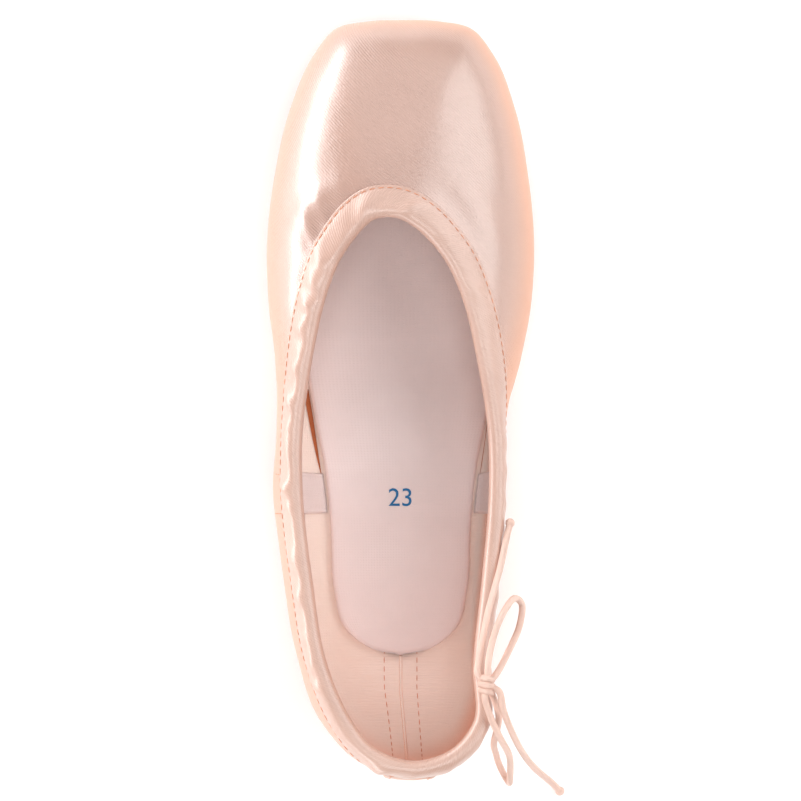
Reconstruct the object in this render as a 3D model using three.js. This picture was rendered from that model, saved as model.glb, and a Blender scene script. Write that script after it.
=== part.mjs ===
// A ballet pointe shoe on a straight last, standing empty on its sole.
// Millimetres, +Z up, +Y towards the toe. Lengths along the shoe are measured from the back of the heel,
// and the finished group is moved so that its origin is under the middle of the shoe, on the floor.

import * as THREE from "three";
import { mergeVertices } from "three/addons/utils/BufferGeometryUtils.js";

// Driving dimensions
const WALL = 1.8; // satin, canvas and lining together
const GAP = 0.3; // between pieces that are sewn or glued together
const SOLE_THICKNESS = 2.2;
const INSOLE_THICKNESS = 2.6;
const PATCH_THICKNESS = 0.9;
const STRIP_THICKNESS = 0.8;
const TAPE_THICKNESS = 0.6;
const CORD_DIAMETER = 2.0;

// Underside of the shoe, from heel to toe
const SEAT_END = 68; // the heel's flat spot ends here and the arch begins
const ARCH_RISE = 3.0;
const TREAD_START = 128; // the forefoot's flat spot begins here
const TREAD_END = 184; // the toe spring begins here
const TOE_SPRING = 2.0; // rise of the sole at its front end
const SOLE_FRONT = 201.8;
const UNDER_OPENING = 0.45; // share of the floor's half width that stays open under the upper
const OPENING_BACK = 46; // the opening's centre line runs between these two
const OPENING_FRONT = 184;

// Trim
const BINDING_OUTER_WIDTH = 7.6;
const BINDING_INNER_WIDTH = 5.6;
const STRIP_HALF_WIDTH = 8.2;
const TAPE_HALF_WIDTH = 6.8;

// Mesh fineness
const STEPS_PER_RIB = 3;
const MARGIN_STEPS = 2;
const BILGE_STEPS = 5;
const CROWN_STEPS = 8;
const STEPS_PER_OUTLINE_ROW = 3;
const CORD_SIDES = 8;

// The upper's ribs, from the back of the heel round the right side to the toe. The left side mirrors them.
// floor: edge of the flat floor. side: the widest point and its height. collar: the top edge.
// sway and lean shift the side and the collar sideways, because the empty shoe has slumped to one side.
// rise: how far the underside climbs from floor edge to side. shoulder: height where wall and top would meet.
// bilge and crown: 0.55 is an ellipse, nearer 1 is squarer.
const RIB_COLUMNS = [
  "floorX", "floorY", "sideX", "sideY", "sideZ", "collarX", "collarY", "collarZ",
  "sway", "lean", "rise", "shoulder", "bilge", "crown",
];
const RIBS = {
  heelBack: [0, 25.5, 0, 1.1, 30, 0, 4.2, 52, 2, 3.4, 0, 45.5, 0.6, 0.5],
  heelTurn: [10.5, 28, 16.4, 6.2, 30, 13.6, 8.6, 51.5, 2.7, 4.1, 0, 43.5, 0.6, 0.5],
  heelQuarter: [17.5, 35, 25.2, 18, 28, 20.9, 17.6, 50, 0.8, 3.9, 0, 40, 0.6, 0.5],
  heelSide: [21, 48, 29.2, 37, 26, 24.9, 35.4, 47, -2.1, 0, 0, 36.5, 0.6, 0.5],
  seat: [22, 64, 32.4, 60, 24, 28.4, 60, 43, -3, -0.9, 0, 32, 0.6, 0.5],
  sideSeam: [23.6, 87, 34.8, 87, 23, 31, 87, 40, -3.4, -1.3, 0, 30, 0.6, 0.5],
  waist: [26.4, 106, 34.8, 108, 22, 30.8, 105, 40, -2.8, -1.5, 0, 30.5, 0.6, 0.5],
  wing: [29.4, 125, 37.3, 127, 21, 28, 123, 42, -0.8, -1.8, 0, 33, 0.58, 0.54],
  joint: [31.2, 145, 40, 145, 19, 23.2, 143.5, 45, -0.2, -2, 0, 37, 0.56, 0.58],
  ball: [31.5, 162, 40.6, 162, 18, 18.4, 155.6, 47, 0, -2.4, 0, 39, 0.56, 0.62],
  box: [29.6, 180, 38.8, 181, 17, 12.2, 164.2, 49, 0.2, -3, 1, 40.5, 0.58, 0.68],
  boxFront: [25, 192.5, 34.2, 203, 16, 7.4, 168.6, 50, 0.6, -3.6, 3, 40.5, 0.6, 0.72],
  corner: [19.4, 199.6, 27.4, 219.4, 15, 4.6, 170.2, 50.4, 0.9, -3.9, 4, 39.5, 0.66, 0.74],
  cornerTurn: [16.8, 200.6, 21, 227.2, 15, 3.4, 170.6, 50.5, 0.9, -4, 4.5, 38.5, 0.72, 0.76],
  platform: [9, 202, 10.6, 229.6, 16, 1.6, 170.9, 50.6, 0.9, -4, 5, 38, 0.78, 0.78],
  toeFront: [0, 202.6, 0, 230, 16, 0, 171, 50.6, 0.9, -4, 5, 38, 0.78, 0.78],
};

// Outlines of the flat pieces: half width at each distance from the heel.
const SOLE_OUTLINE = {
  heelEnd: [24.9, 0], heelRound: [27, 10.6], heelCorner: [33.5, 17.6], heelWidest: [47, 20.8],
  seat: [64, 19.5], shankBack: [80, 17.2], waist: [94, 16], shankFront: [108, 17.8], flare: [120, 21.4],
  joint: [138, 27], ball: [160, 30], box: [178, 28], boxFront: [190, 24.4], frontCorner: [198.9, 18.7],
  frontRound: [201, 10], frontEnd: [SOLE_FRONT, 0],
};
const INSOLE_OUTLINE = {
  heelEnd: [36.3, 0], heelRound: [38.6, 9.6], heelCorner: [45, 17.4], heelSide: [56, 20.4], seat: [75, 21.4],
  waist: [92, 22.9], shankFront: [107, 25.8], flare: [122, 28.4], ball: [152, 30.6], box: [178, 28.2],
  toe: [192, 23], toeRound: [198.5, 14], toeEnd: [200.5, 0],
};

// The casing's section round the collar: how far down from the edge, and how far out from the wall.
// Offsets outside the wall are measured from its outer face, those inside from its inner face.
const CASING_SECTION = [
  { drop: BINDING_OUTER_WIDTH, out: GAP },
  { drop: BINDING_OUTER_WIDTH, out: GAP + 0.7 },
  { drop: 5.2, out: GAP + 1.0 },
  { drop: 2.2, out: GAP + 1.4 },
  { drop: -0.4, out: GAP + 1.4 },
  { drop: -1.8, out: GAP + 0.4 },
  { drop: -2.3, out: -WALL / 2 },
  { drop: -1.8, out: -WALL - GAP - 0.4 },
  { drop: -0.4, out: -WALL - GAP - 1.4 },
  { drop: 2.2, out: -WALL - GAP - 1.4 },
  { drop: BINDING_INNER_WIDTH, out: -WALL - GAP - 0.6 },
  { drop: BINDING_INNER_WIDTH, out: -WALL - GAP },
  { drop: BINDING_INNER_WIDTH / 2, out: -WALL - GAP },
  { drop: -GAP, out: -WALL - GAP },
  { drop: -GAP, out: GAP },
  { drop: BINDING_OUTER_WIDTH / 3, out: GAP },
  { drop: (BINDING_OUTER_WIDTH * 2) / 3, out: GAP },
];

// The bow's knot sits on top of the casing, and its cords are given from the knot's centre.
const KNOT_RIB = 2.7;
const KNOT_OUT = 0.4;
const KNOT_UP = 5.2;
const KNOT_RADII = [3.2, 3.2, 2.8];
const BOW_CORDS = {
  bow_loop_front: [
    [0.2, 3.4, 1.1], [0.8, 9, 0.7], [2.8, 16.5, -1.2], [5.8, 22.6, -4.6], [8.6, 25.4, -8.8],
    [10.8, 23.2, -12.4], [10, 17, -11.8], [7, 10.4, -7.2], [3, 3.4, -1.4],
  ],
  bow_loop_rear: [
    [-0.6, -3.7, 1.3], [1.2, -9.6, 0.6], [4, -15.8, -2.8], [7, -22, -9.6], [7.2, -29.5, -15.8],
    [7, -30.4, -19.5], [5.7, -28.5, -22.6], [4.1, -25.1, -23.3], [3.2, -22.1, -21.2],
    [2.4, -18.4, -14.4], [3.7, -9.6, -5], [1.9, -3.4, -1.3],
  ],
  bow_end_front: [
    [-2.7, 3.2, 0.4], [-2.2, 8, -0.8], [-1, 14.2, -2.2], [0.4, 21.2, -3.8], [2.3, 28, -5.9],
    [4.3, 35, -8.5], [5.9, 42.4, -10.8], [7.2, 47.8, -12.6],
  ],
  bow_end_rear: [
    [3.6, -1.8, 1], [5, -7.6, 0.6], [7.4, -13.8, -3.4], [10.3, -19.8, -11.6], [13.6, -25, -23.6],
    [17.2, -29.2, -37], [20.4, -32.4, -47.4], [23.4, -35.6, -51.7],
  ],
};

const COLOURS = {
  satin: { color: 0xe9b79c, roughness: 0.35, metalness: 0 },
  casing: { color: 0xf0c9b2, roughness: 0.45, metalness: 0 },
  suede: { color: 0xb98f76, roughness: 0.95, metalness: 0 },
  cotton: { color: 0xe3cfc9, roughness: 0.9, metalness: 0 },
  tape: { color: 0xe6cfcb, roughness: 0.9, metalness: 0 },
  cord: { color: 0xedc6b4, roughness: 0.6, metalness: 0 },
};

// Interpolation

function smoothStep(low, high, value) {
  const t = THREE.MathUtils.clamp((value - low) / (high - low), 0, 1);
  return t * t * (3 - 2 * t);
}

// A smooth curve through rows of numbers, with knots spaced as the rows are. Closed rows wrap round.
function splineThrough(rows, knots, closed) {
  const count = rows.length;
  const period = knots[count] - knots[0];
  const row = (i) => (closed ? rows[(i + count) % count] : rows[THREE.MathUtils.clamp(i, 0, count - 1)]);
  const knot = (i) => {
    if (!closed) return knots[THREE.MathUtils.clamp(i, 0, count - 1)];
    return knots[(i + count) % count] + Math.floor(i / count) * period;
  };
  const slope = (i, c) => {
    const before = knot(i) - knot(i - 1);
    const after = knot(i + 1) - knot(i);
    const rate = (a, b, span) => (span > 0 ? (row(b)[c] - row(a)[c]) / span : 0);
    if (before === 0) return rate(i, i + 1, after);
    if (after === 0) return rate(i - 1, i, before);
    return (rate(i - 1, i, before) * after + rate(i, i + 1, after) * before) / (before + after);
  };
  return (position) => {
    const i = closed ? Math.floor(position) : Math.min(Math.floor(position), count - 2);
    const t = position - i;
    const span = knot(i + 1) - knot(i);
    return row(i).map((_, c) => {
      const [p0, p1] = [row(i)[c], row(i + 1)[c]];
      const [m0, m1] = [slope(i, c) * span, slope(i + 1, c) * span];
      const a = 2 * p0 + m0 - 2 * p1 + m1;
      const b = -3 * p0 - 2 * m0 + 3 * p1 - m1;
      return ((a * t + b) * t + m0) * t + p0;
    });
  };
}

function bezier(p0, p1, p2, p3, t) {
  const s = 1 - t;
  return new THREE.Vector3()
    .addScaledVector(p0, s * s * s)
    .addScaledVector(p1, 3 * s * s * t)
    .addScaledVector(p2, 3 * s * t * t)
    .addScaledVector(p3, t * t * t);
}

// Height of the outsole's top face along the shoe: flat heel, arch, flat tread and toe spring.
function soleTop(y) {
  const arch = ARCH_RISE * smoothStep(SEAT_END, 98, y) * (1 - smoothStep(98, TREAD_START, y));
  const spring = TOE_SPRING * THREE.MathUtils.clamp((y - TREAD_END) / (SOLE_FRONT - TREAD_END), 0, 1) ** 2;
  return SOLE_THICKNESS + arch + spring;
}

// The upper's surface

// All ribs in order: right side from heel to toe, then the mirrored left side back to the heel.
function closedRibs() {
  const right = Object.values(RIBS).map((values) =>
    Object.fromEntries(values.map((value, i) => [RIB_COLUMNS[i], value])),
  );
  const placed = (rib, side) => [
    side * rib.floorX, rib.floorY,
    side * rib.sideX + rib.sway, rib.sideY, rib.sideZ,
    side * rib.collarX + rib.lean, rib.collarY, rib.collarZ,
    rib.rise, rib.shoulder, rib.bilge, rib.crown,
  ];
  const left = right.slice(1, -1).reverse();
  return [...right.map((rib) => placed(rib, 1)), ...left.map((rib) => placed(rib, -1))];
}

const CLOSED_RIBS = closedRibs();
const RIB_COUNT = CLOSED_RIBS.length;
const TOE_RIB = RIB_COUNT / 2;

// Knots spaced by how far apart neighbouring ribs stand at the side and at the collar.
function ribKnots() {
  const knots = [0];
  for (let i = 0; i < RIB_COUNT; i++) {
    const a = CLOSED_RIBS[i];
    const b = CLOSED_RIBS[(i + 1) % RIB_COUNT];
    const apart = Math.hypot(a[2] - b[2], a[3] - b[3]) + Math.hypot(a[5] - b[5], a[6] - b[6]);
    knots.push(knots[i] + apart);
  }
  return knots;
}

const ribAt = splineThrough(CLOSED_RIBS, ribKnots(), true);

// A point of the outer face. stage 0 to 1 is the margin under the insole, 1 to 2 the bilge, 2 to 3 the crown.
function facePoint(rib, stage) {
  const [fx, fy, sx, sy, sz, cx, cy, cz, rise, shoulder, bilge, crown] = ribAt(rib);
  const floor = new THREE.Vector3(fx, fy, soleTop(fy) + GAP);
  if (stage <= 1) {
    const centre = new THREE.Vector2(0, THREE.MathUtils.clamp(fy, OPENING_BACK, OPENING_FRONT));
    const share = UNDER_OPENING + (1 - UNDER_OPENING) * stage;
    const x = THREE.MathUtils.lerp(centre.x, fx, share);
    const y = THREE.MathUtils.lerp(centre.y, fy, share);
    return new THREE.Vector3(x, y, soleTop(y) + GAP);
  }
  const side = new THREE.Vector3(sx, sy, sz);
  if (stage <= 2) {
    const corner = new THREE.Vector3(sx, sy, floor.z + rise);
    return bezier(floor, floor.clone().lerp(corner, bilge), side.clone().lerp(corner, bilge), side, stage - 1);
  }
  const collar = new THREE.Vector3(cx, cy, cz);
  const corner = new THREE.Vector3(sx, sy, shoulder);
  return bezier(side, side.clone().lerp(corner, crown), collar.clone().lerp(corner, crown), collar, stage - 2);
}

function faceNormal(rib, stage) {
  const step = 0.004;
  const low = Math.max(stage - step, 0);
  const high = Math.min(stage + step, 3);
  const along = facePoint(rib + step, stage).sub(facePoint(rib - step, stage));
  const up = facePoint(rib, high).sub(facePoint(rib, low));
  return along.cross(up).normalize();
}

// A point at some distance out from the outer face; negative is inside.
function shellPoint(rib, stage, out) {
  return facePoint(rib, stage).addScaledVector(faceNormal(rib, stage), out);
}

// The stage that lies some distance down the wall from the collar's edge.
function stageBelowCollar(rib, drop) {
  const step = 0.01;
  let walked = 0;
  let stage = 3;
  let last = facePoint(rib, stage);
  while (stage > 1) {
    const next = facePoint(rib, stage - step);
    const length = next.distanceTo(last);
    if (walked + length >= drop) return stage - (step * (drop - walked)) / length;
    walked += length;
    stage -= step;
    last = next;
  }
  return stage;
}

// A point beside the collar: drop is measured down the wall, and above the edge it goes straight on.
function collarPoint(rib, drop, out) {
  if (drop >= 0) return shellPoint(rib, stageBelowCollar(rib, drop), out);
  const up = facePoint(rib, 3).sub(facePoint(rib, 2.99)).normalize();
  return shellPoint(rib, 3, out).addScaledVector(up, -drop);
}

// Solids from grids of points

// A geometry from points and faces given as lists of point indices, with doubled points merged.
function solidFrom(points, faces) {
  const positions = new Float32Array(points.flatMap((p) => [p.x, p.y, p.z]));
  const triangles = [];
  for (const [a, b, c, d] of faces) {
    triangles.push(a, b, c);
    if (d !== undefined) triangles.push(a, c, d);
  }
  const geometry = new THREE.BufferGeometry();
  geometry.setAttribute("position", new THREE.BufferAttribute(positions, 3));
  geometry.setIndex(triangles);
  const merged = mergeVertices(geometry, 1e-3);
  const kept = [];
  for (let i = 0; i < merged.index.count; i += 3) {
    const [a, b, c] = [0, 1, 2].map((k) => merged.index.getX(i + k));
    if (a !== b && b !== c && c !== a) kept.push(a, b, c);
  }
  merged.setIndex(kept);
  merged.computeVertexNormals();
  return merged;
}

// A closed ring: sections of points that go round, each section itself a closed loop.
function ringSolid(sections) {
  const size = sections[0].length;
  const faces = [];
  sections.forEach((_, i) => {
    const next = (i + 1) % sections.length;
    for (let k = 0; k < size; k++) {
      const over = (k + 1) % size;
      faces.push([i * size + k, next * size + k, next * size + over, i * size + over]);
    }
  });
  return solidFrom(sections.flat(), faces);
}

// A bar: as a ring, but its first and last sections are closed by caps. The section is a strip of two rows.
function barSolid(sections) {
  const size = sections[0].length;
  const faces = [];
  for (let i = 0; i + 1 < sections.length; i++) {
    for (let k = 0; k < size; k++) {
      const over = (k + 1) % size;
      faces.push([i * size + k, (i + 1) * size + k, (i + 1) * size + over, i * size + over]);
    }
  }
  const last = (sections.length - 1) * size;
  for (let k = 0; k + 1 < size / 2; k++) {
    faces.push([k, k + 1, size - 2 - k, size - 1 - k]);
    faces.push([last + k, last + size - 1 - k, last + size - 2 - k, last + k + 1]);
  }
  return solidFrom(sections.flat(), faces);
}

// A patch of material on the shell between two offsets. ribsAt gives the two end ribs at each stage.
function overlaySolid(stages, ribSteps, ribsAt, inner, outer) {
  const sections = [];
  for (let i = 0; i <= ribSteps; i++) {
    const points = (out) =>
      stages.map((stage) => {
        const [from, to] = ribsAt(stage);
        return shellPoint(from + ((to - from) * i) / ribSteps, stage, out);
      });
    sections.push([...points(outer), ...points(inner).reverse()]);
  }
  return barSolid(sections);
}

// A flat piece with a mirrored outline. bottomAt and topAt give the heights of its faces along the shoe.
function plateSolid(outline, bottomAt, topAt) {
  const rows = Object.values(outline);
  const knots = [0];
  for (let i = 1; i < rows.length; i++) {
    knots.push(knots[i - 1] + Math.hypot(rows[i][0] - rows[i - 1][0], rows[i][1] - rows[i - 1][1]));
  }
  const along = splineThrough(rows, knots, false);
  const sections = [];
  for (let i = 0; i <= (rows.length - 1) * STEPS_PER_OUTLINE_ROW; i++) {
    const [y, half] = along(i / STEPS_PER_OUTLINE_ROW);
    const at = (x, z) => new THREE.Vector3(x, y, z);
    sections.push([at(half, bottomAt(y)), at(half, topAt(y)), at(-half, topAt(y)), at(-half, bottomAt(y))]);
  }
  return barSolid(sections);
}

function range(low, high, steps) {
  return Array.from({ length: steps + 1 }, (_, i) => low + ((high - low) * i) / steps);
}

// Pieces

const ALL_RIBS = range(0, RIB_COUNT, RIB_COUNT * STEPS_PER_RIB).slice(0, -1);

const ALL_STAGES = [
  ...range(0, 1, MARGIN_STEPS).slice(0, -1),
  ...range(1, 2, BILGE_STEPS).slice(0, -1),
  ...range(2, 3, CROWN_STEPS),
];

// The upper's own stages between two others, so that overlays share its facets.
function stagesBetween(low, high) {
  const margin = 0.02;
  return [low, ...ALL_STAGES.filter((stage) => stage > low + margin && stage < high - margin), high];
}

function upperGeometry() {
  const sections = ALL_RIBS.map((rib) => [
    ...ALL_STAGES.map((stage) => shellPoint(rib, stage, 0)),
    ...ALL_STAGES.map((stage) => shellPoint(rib, stage, -WALL)).reverse(),
  ]);
  return ringSolid(sections);
}

function casingGeometry() {
  const sections = ALL_RIBS.map((rib) => CASING_SECTION.map(({ drop, out }) => collarPoint(rib, drop, out)));
  return ringSolid(sections);
}

// The satin strip over the back seam keeps one width from the sole to the casing.
function heelStripGeometry() {
  const top = stageBelowCollar(0, BINDING_OUTER_WIDTH + GAP);
  const ribOut = (stage) => {
    const middle = facePoint(0, stage).x;
    let [low, high] = [0, 2];
    for (let i = 0; i < 30; i++) {
      const mid = (low + high) / 2;
      if (facePoint(mid, stage).x - middle < STRIP_HALF_WIDTH) low = mid;
      else high = mid;
    }
    return low;
  };
  const ribsAt = (stage) => [-ribOut(stage), ribOut(stage)];
  return overlaySolid(stagesBetween(1.06, top), 4, ribsAt, GAP, GAP + STRIP_THICKNESS);
}

// The suede tip covers the underside of the box, from the sole to the edge of the flat end.
function toePatchGeometry() {
  const halfSteps = 8;
  const halfRibs = halfSteps / STEPS_PER_RIB;
  const [rearEdge, topEdge] = [1.03, 1.82];
  const ribsAt = () => [TOE_RIB - halfRibs, TOE_RIB + halfRibs];
  return overlaySolid(stagesBetween(rearEdge, topEdge), 2 * halfSteps, ribsAt, GAP, GAP + PATCH_THICKNESS);
}

// Cotton tape inside the wall, over the side seam.
function seamTapeGeometry(seamRib) {
  const spacing = facePoint(seamRib + 0.5, 2).distanceTo(facePoint(seamRib - 0.5, 2));
  const halfRibs = TAPE_HALF_WIDTH / spacing;
  const top = stageBelowCollar(seamRib, BINDING_INNER_WIDTH + GAP);
  const inner = -WALL - GAP - TAPE_THICKNESS;
  const ribsAt = () => [seamRib - halfRibs, seamRib + halfRibs];
  return overlaySolid(stagesBetween(1.1, top), 3, ribsAt, inner, -WALL - GAP);
}

function outsoleGeometry() {
  return plateSolid(SOLE_OUTLINE, (y) => soleTop(y) - SOLE_THICKNESS, soleTop);
}

function insoleGeometry() {
  const seat = (y) => soleTop(y) + GAP + WALL + GAP;
  return plateSolid(INSOLE_OUTLINE, seat, (y) => seat(y) + INSOLE_THICKNESS);
}

function knotCentre() {
  const up = new THREE.Vector3(0, 0, 1);
  const out = faceNormal(KNOT_RIB, 2.9).setZ(0).normalize();
  return facePoint(KNOT_RIB, 3).addScaledVector(out, KNOT_OUT).addScaledVector(up, KNOT_UP);
}

function knotGeometry(centre) {
  const [x, y, z] = KNOT_RADII;
  return new THREE.SphereGeometry(1, 14, 9).scale(x, y, z).translate(centre.x, centre.y, centre.z);
}

// A round cord along hand-placed points.
function cordGeometry(centre, offsets) {
  const curve = new THREE.CatmullRomCurve3(
    offsets.map((offset) => new THREE.Vector3(...offset).add(centre)),
    false,
    "centripetal",
  );
  const section = new THREE.Shape();
  for (let i = 0; i < CORD_SIDES; i++) {
    const angle = (2 * Math.PI * i) / CORD_SIDES;
    const at = [(CORD_DIAMETER / 2) * Math.cos(angle), (CORD_DIAMETER / 2) * Math.sin(angle)];
    if (i === 0) section.moveTo(...at);
    else section.lineTo(...at);
  }
  const steps = Math.ceil(curve.getLength() / (2 * CORD_DIAMETER));
  return new THREE.ExtrudeGeometry(section, { steps, bevelEnabled: false, extrudePath: curve });
}

// Assembly

function piece(name, geometry, finish) {
  const mesh = new THREE.Mesh(geometry, new THREE.MeshStandardMaterial(COLOURS[finish]));
  mesh.name = name;
  return mesh;
}

const SIDE_SEAM_RIB = Object.keys(RIBS).indexOf("sideSeam");

function shoeBody() {
  const body = new THREE.Group();
  body.add(
    piece("outsole", outsoleGeometry(), "suede"),
    piece("toe_patch", toePatchGeometry(), "suede"),
    piece("upper", upperGeometry(), "satin"),
    piece("insole", insoleGeometry(), "cotton"),
    piece("casing", casingGeometry(), "casing"),
    piece("heel_strip", heelStripGeometry(), "satin"),
    piece("seam_tape_right", seamTapeGeometry(SIDE_SEAM_RIB), "tape"),
    piece("seam_tape_left", seamTapeGeometry(RIB_COUNT - SIDE_SEAM_RIB), "tape"),
  );
  return body;
}

function drawstringBow() {
  const bow = new THREE.Group();
  const centre = knotCentre();
  bow.add(piece("bow_knot", knotGeometry(centre), "cord"));
  for (const [name, offsets] of Object.entries(BOW_CORDS)) {
    bow.add(piece(name, cordGeometry(centre, offsets), "cord"));
  }
  return bow;
}

const body = shoeBody();
const middle = new THREE.Box3().setFromObject(body).getCenter(new THREE.Vector3());
const shoe = new THREE.Group();
shoe.add(body, drawstringBow());
shoe.children.forEach((part) => part.position.set(-middle.x, -middle.y, 0));

export default shoe;
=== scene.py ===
"""A ballet pointe shoe, dressed in satin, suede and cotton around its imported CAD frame.

Tables are in millimetres from the back of the heel; everything built is in metres in the row frame.
"""

from __future__ import annotations

import logging
import math
from dataclasses import dataclass, field
from enum import Enum
from typing import Callable, ClassVar, Iterable, Sequence

import bpy
import numpy as np
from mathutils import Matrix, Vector

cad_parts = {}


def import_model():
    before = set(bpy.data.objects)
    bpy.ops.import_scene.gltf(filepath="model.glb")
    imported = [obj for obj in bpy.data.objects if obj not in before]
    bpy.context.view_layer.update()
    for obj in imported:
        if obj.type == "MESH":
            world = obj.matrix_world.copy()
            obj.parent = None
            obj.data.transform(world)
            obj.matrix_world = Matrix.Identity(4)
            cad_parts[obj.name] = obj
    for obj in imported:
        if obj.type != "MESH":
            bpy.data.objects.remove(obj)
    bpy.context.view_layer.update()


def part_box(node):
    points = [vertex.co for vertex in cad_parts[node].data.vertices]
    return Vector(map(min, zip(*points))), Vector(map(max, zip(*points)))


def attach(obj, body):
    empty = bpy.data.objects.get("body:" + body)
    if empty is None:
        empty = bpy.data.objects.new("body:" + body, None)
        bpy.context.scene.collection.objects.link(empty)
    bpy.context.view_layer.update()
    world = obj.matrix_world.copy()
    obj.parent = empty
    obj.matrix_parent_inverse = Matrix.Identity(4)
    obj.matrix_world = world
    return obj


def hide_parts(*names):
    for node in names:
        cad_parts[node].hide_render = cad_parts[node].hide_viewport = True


LOG = logging.getLogger("pointe_shoe")

Array = np.ndarray
Material = bpy.types.Material
Socket = bpy.types.NodeSocket
Pair = tuple[float, float]
Triple = tuple[float, float, float]
RibEnds = Callable[[Array], tuple[Array, Array]]
Inputs = dict[str | int, object]

MM = 0.001
BODY = "root"
# Name of the mask for the painted bounce light on steep walls
BOUNCE_ATTRIBUTE = "painted_bounce"

# Sizes shared with the CAD frame, in millimetres
WALL = 1.8
GAP = 0.3
SOLE_THICKNESS = 2.2
INSOLE_THICKNESS = 2.6
INSOLE_BOTTOM = GAP + WALL + GAP
SEAT_END, ARCH_TOP, TREAD_START = 68.0, 98.0, 128.0
ARCH_RISE = 3.0
TREAD_END, SOLE_FRONT = 184.0, 201.8
TOE_SPRING = 2.0
UNDER_OPENING = 0.45
OPENING_BACK, OPENING_FRONT = 46.0, 184.0
CASING_OUTER_WIDTH = 7.6
CASING_INNER_WIDTH = 5.6
STRIP_HALF_WIDTH = 8.2
TAPE_HALF_WIDTH = 6.8
CORD_DIAMETER = 2.0

# Stages up the wall of the last
WIDEST, COLLAR = 2.0, 3.0


@dataclass(frozen=True)
class Rib:
    """One section of the last, from the floor's edge over the widest point to the collar."""

    floor_x: float
    floor_y: float
    side_x: float
    side_y: float
    side_z: float
    collar_x: float
    collar_y: float
    collar_z: float
    sway: float
    lean: float
    rise: float
    shoulder: float
    bilge: float
    crown: float

    def placed(self, side: int) -> list[float]:
        """The rib's numbers on one side of the shoe, +1 right or -1 left."""
        return [
            side * self.floor_x, self.floor_y,
            side * self.side_x + self.sway, self.side_y, self.side_z,
            side * self.collar_x + self.lean, self.collar_y, self.collar_z,
            self.rise, self.shoulder, self.bilge, self.crown,
        ]


RIBS: dict[str, Rib] = {
    "heel_back": Rib(0, 25.5, 0, 1.1, 30, 0, 4.2, 52, 2, 3.4, 0, 45.5, 0.6, 0.5),
    "heel_turn": Rib(10.5, 28, 16.4, 6.2, 30, 13.6, 8.6, 51.5, 2.7, 4.1, 0, 43.5, 0.6, 0.5),
    "heel_quarter": Rib(17.5, 35, 25.2, 18, 28, 20.9, 17.6, 50, 0.8, 3.9, 0, 40, 0.6, 0.5),
    "heel_side": Rib(21, 48, 29.2, 37, 26, 24.9, 35.4, 47, -2.1, 0, 0, 36.5, 0.6, 0.5),
    "seat": Rib(22, 64, 32.4, 60, 24, 28.4, 60, 43, -3, -0.9, 0, 32, 0.6, 0.5),
    "side_seam": Rib(23.6, 87, 34.8, 87, 23, 31, 87, 40, -3.4, -1.3, 0, 30, 0.6, 0.5),
    "waist": Rib(26.4, 106, 34.8, 108, 22, 30.8, 105, 40, -2.8, -1.5, 0, 30.5, 0.6, 0.5),
    "wing": Rib(29.4, 125, 37.3, 127, 21, 28, 123, 42, -0.8, -1.8, 0, 33, 0.58, 0.54),
    "joint": Rib(31.2, 145, 40, 145, 19, 23.2, 143.5, 45, -0.2, -2, 0, 37, 0.56, 0.58),
    "ball": Rib(31.5, 162, 40.6, 162, 18, 18.4, 155.6, 47, 0, -2.4, 0, 39, 0.56, 0.62),
    "box": Rib(29.6, 180, 38.8, 181, 17, 12.2, 164.2, 49, 0.2, -3, 1, 40.5, 0.58, 0.68),
    "box_front": Rib(25, 192.5, 34.2, 203, 16, 7.4, 168.6, 50, 0.6, -3.6, 3, 40.5, 0.6, 0.72),
    "corner": Rib(19.4, 199.6, 27.4, 219.4, 15, 4.6, 170.2, 50.4, 0.9, -3.9, 4, 39.5, 0.66, 0.74),
    "corner_turn": Rib(16.8, 200.6, 21, 227.2, 15, 3.4, 170.6, 50.5, 0.9, -4, 4.5, 38.5, 0.72, 0.76),
    "platform": Rib(9, 202, 10.6, 229.6, 16, 1.6, 170.9, 50.6, 0.9, -4, 5, 38, 0.78, 0.78),
    "toe_front": Rib(0, 202.6, 0, 230, 16, 0, 171, 50.6, 0.9, -4, 5, 38, 0.78, 0.78),
}
TOE_RIB = len(RIBS) - 1
RIB_COUNT = 2 * TOE_RIB
SIDE_SEAM_RIB = list(RIBS).index("side_seam")
SIDE_SEAMS = {"right": SIDE_SEAM_RIB, "left": RIB_COUNT - SIDE_SEAM_RIB}

# Half widths of the flat pieces by distance from the heel
SOLE_OUTLINE: list[Pair] = [
    (24.9, 0), (27, 10.6), (33.5, 17.6), (47, 20.8), (64, 19.5), (80, 17.2), (94, 16), (108, 17.8),
    (120, 21.4), (138, 27), (160, 30), (178, 28), (190, 24.4), (198.9, 18.7), (201, 10), (SOLE_FRONT, 0),
]
INSOLE_OUTLINE: list[Pair] = [
    (36.3, 0), (38.6, 9.6), (45, 17.4), (56, 20.4), (75, 21.4), (92, 22.9), (107, 25.8), (122, 28.4),
    (152, 30.6), (178, 28.2), (192, 23), (198.5, 14), (200.5, 0),
]


def smooth_step(low: float, high: float, value: Array | float) -> Array:
    """Rises smoothly from 0 at low to 1 at high."""
    t = np.clip((np.asarray(value, float) - low) / (high - low), 0.0, 1.0)
    return t * t * (3.0 - 2.0 * t)


def bell(distance: Array | float, breadth: Array | float) -> Array:
    """A soft hump: 1 at no distance, and next to nothing two breadths away."""
    return np.exp(-((distance / breadth) ** 2))


def edge_round(distance: Array, breadth: float) -> Array:
    """A rounded edge's height: 0 at the edge, 1 from breadth inwards."""
    return np.sqrt(1 - (1 - np.clip(distance / breadth, 0, 1)) ** 2)


def steps(points: Array, axis: int = 0) -> Array:
    """Distances between neighbouring points."""
    return np.linalg.norm(np.diff(points, axis=axis), axis=-1)


def running(lengths: Array) -> Array:
    """How far one has walked after each length, from 0."""
    return np.concatenate([[0.0], np.cumsum(lengths)])


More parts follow.
